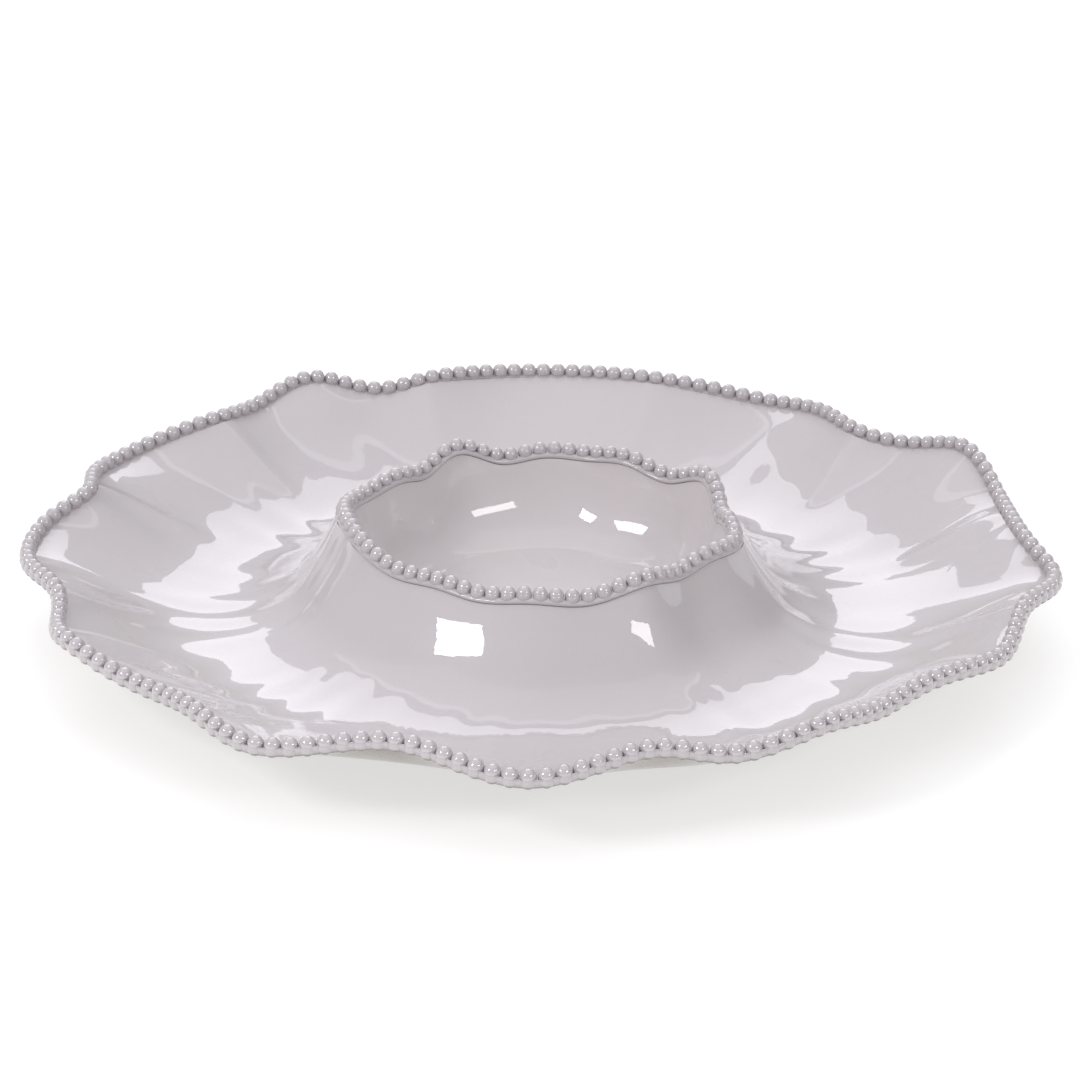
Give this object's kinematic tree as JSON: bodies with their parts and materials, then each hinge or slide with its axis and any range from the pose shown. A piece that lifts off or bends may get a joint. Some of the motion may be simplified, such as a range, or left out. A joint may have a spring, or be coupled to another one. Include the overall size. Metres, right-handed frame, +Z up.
{
  "type": "chip and dip server",
  "caption": "Round serving tray with a ruffled beaded rim and a raised dip bowl in its middle, for chips round a bowl of dip.",
  "frame": {"origin": "middle of the outer rim's footprint, on the surface that the foot ring stands on", "axes": "+Z up; -Y is the side that faces a viewer; the dip bowl's axis is within 1.2 mm of +Z"},
  "size_m": [0.373, 0.3702, 0.0489],
  "materials": {
    "melamine_glaze": "high gloss, slightly pearly",
    "melamine_rim": "high gloss",
    "melamine_beads": "pearly high gloss",
    "melamine_foot": "satin where it is worn"
  },
  "bodies": {
    "root": {"chip_tray": "melamine_glaze", "outer_rim_roll": "melamine_rim", "outer_rim_beads": "melamine_beads", "pedestal_wall": "melamine_glaze", "dip_bowl": "melamine_glaze", "dip_rim_roll": "melamine_rim", "dip_rim_beads": "melamine_beads", "foot_ring": "melamine_foot"}
  },
  "joints": []
}
